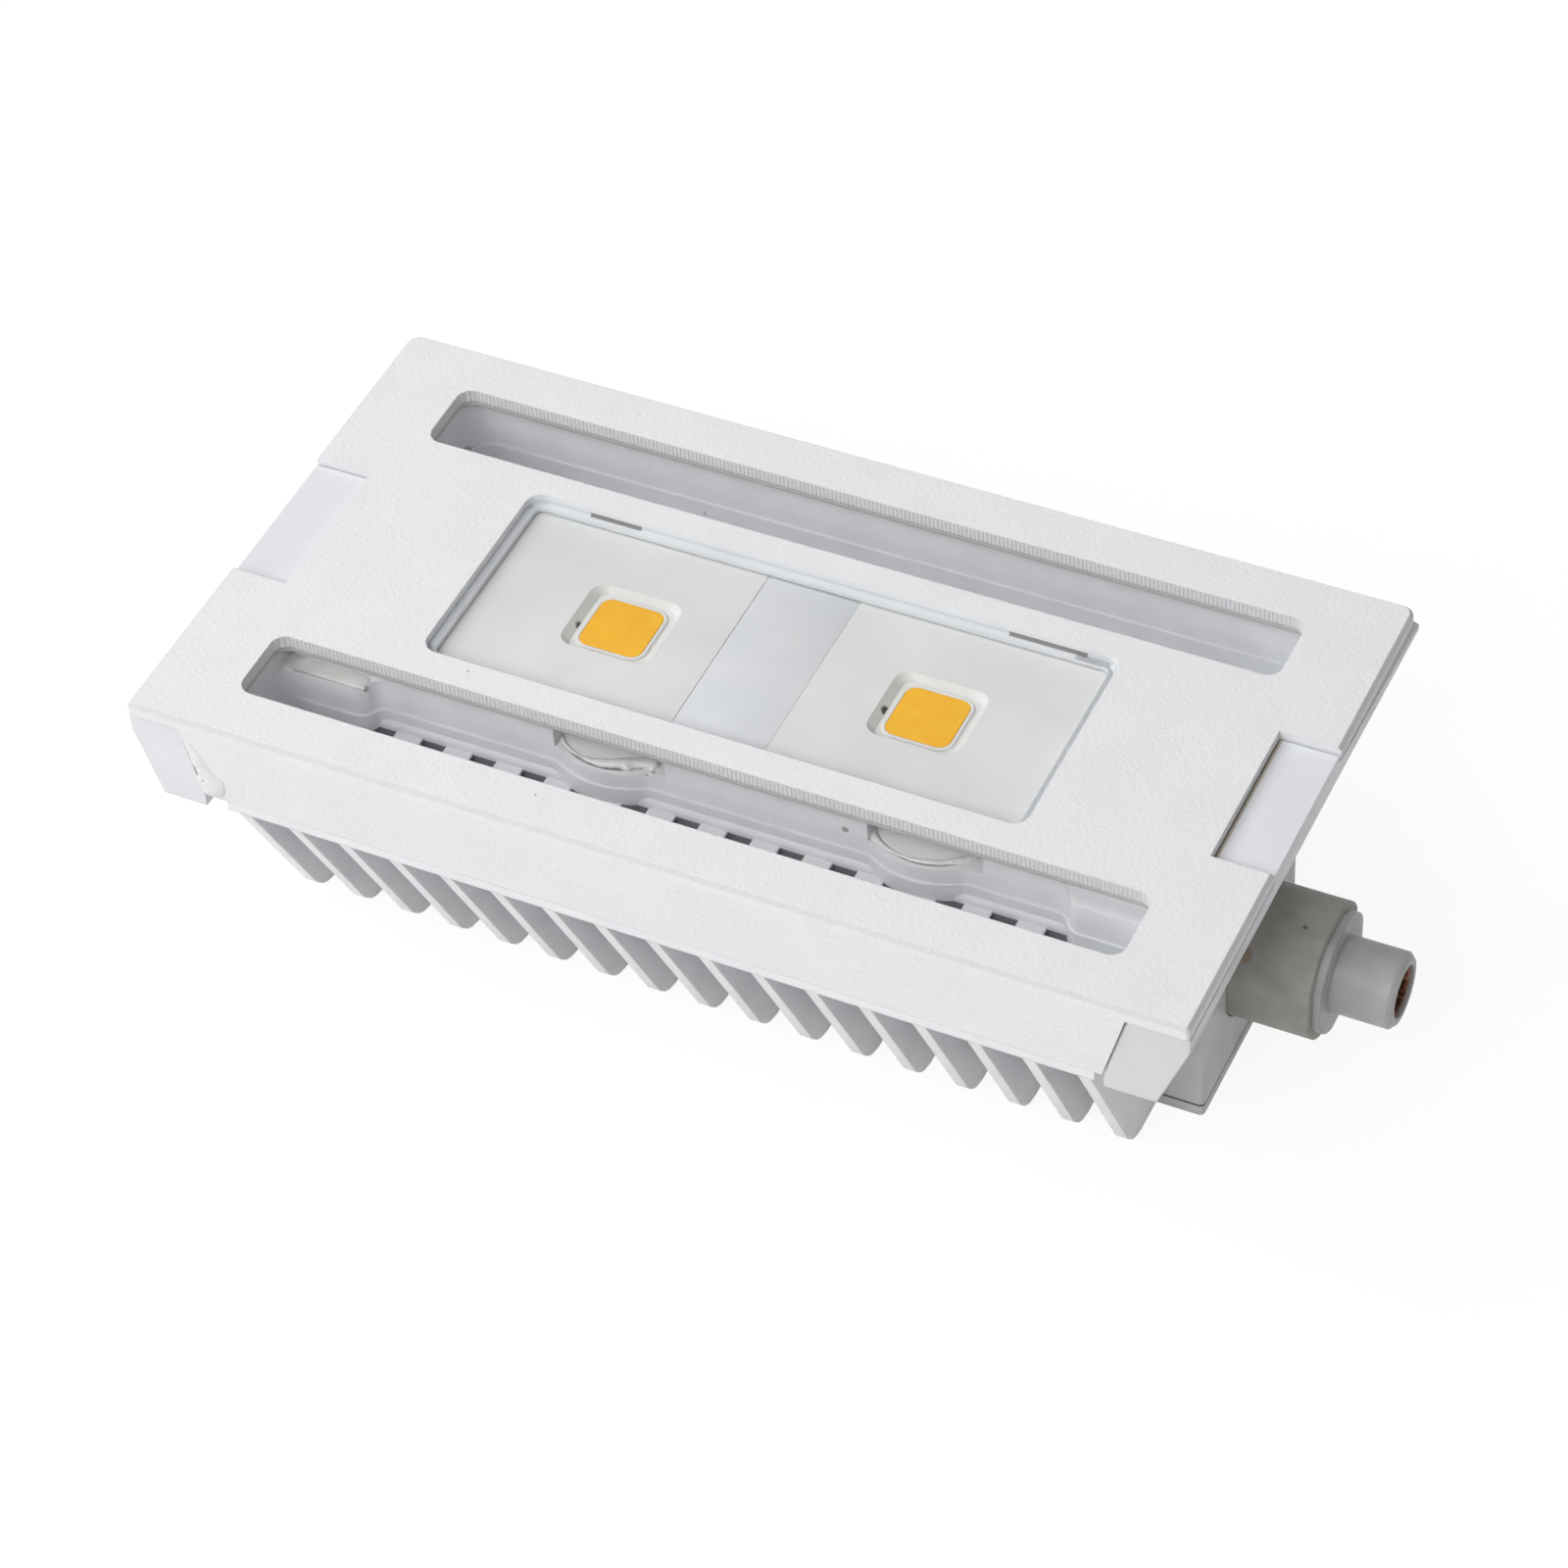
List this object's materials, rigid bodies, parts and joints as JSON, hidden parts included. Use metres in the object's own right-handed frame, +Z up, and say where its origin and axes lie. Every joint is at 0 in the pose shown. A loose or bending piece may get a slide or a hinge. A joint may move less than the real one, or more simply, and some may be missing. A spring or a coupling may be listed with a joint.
{
  "type": "linear led bulb",
  "caption": "Double-ended linear LED lamp: white cover with air slots and a clear window over yellow light sources, finned heat sink, driver box and round ceramic contact ends.",
  "frame": {"origin": "middle of the lamp, on the flat that the fins and the driver box rest on", "axes": "+X along the lamp to the right contact end, +Y across it to the back, +Z up, the way the light goes"},
  "size_m": [0.118, 0.0538, 0.0295],
  "materials": {
    "cover_white": "satin",
    "bracket_white": "satin",
    "casting_white": "satin",
    "lens_clear": "gloss",
    "reflector_white": "satin",
    "pad_grey": "matte",
    "board_white": "matte",
    "phosphor_yellow": "satin",
    "box_white": "satin",
    "screw_steel": "satin",
    "circuit_green": "satin",
    "component_black": "satin",
    "film_yellow": "gloss",
    "transformer_tape": "satin",
    "plug_grey": "satin",
    "sealant_cream": "satin",
    "cap_ceramic": "matte",
    "tip_ceramic": "satin",
    "contact_brass": "satin",
    "wire_red": "satin"
  },
  "bodies": {
    "root": {"front_cover": "cover_white", "end_bracket_left": "bracket_white", "end_bracket_right": "bracket_white", "heat_sink": "casting_white", "window_lens": "lens_clear", "reflector_left": "reflector_white", "reflector_right": "reflector_white", "thermal_pad_left": "pad_grey", "thermal_pad_right": "pad_grey", "led_board_left": "board_white", "led_board_right": "board_white", "phosphor_left": "phosphor_yellow", "phosphor_right": "phosphor_yellow", "driver_box": "box_white", "box_lid": "box_white", "lid_screws": "screw_steel", "driver_board": "circuit_green", "capacitor_left": "component_black", "capacitor_right": "component_black", "bridge_rectifier": "component_black", "controller_chip": "component_black", "inductor": "component_black", "film_capacitor": "film_yellow", "transformer": "transformer_tape", "round_plug_left": "plug_grey", "round_plug_right": "plug_grey", "seal_bead_left": "sealant_cream", "seal_bead_right": "sealant_cream", "corner_bead": "sealant_cream", "ceramic_cap_left": "cap_ceramic", "ceramic_cap_right": "cap_ceramic", "contact_tip_left": "tip_ceramic", "contact_tip_right": "tip_ceramic", "contact_left": "contact_brass", "contact_right": "contact_brass", "led_wire_left": "wire_red", "led_wire_right": "wire_red", "supply_wire_left": "wire_red", "supply_wire_right": "wire_red"}
  },
  "joints": []
}
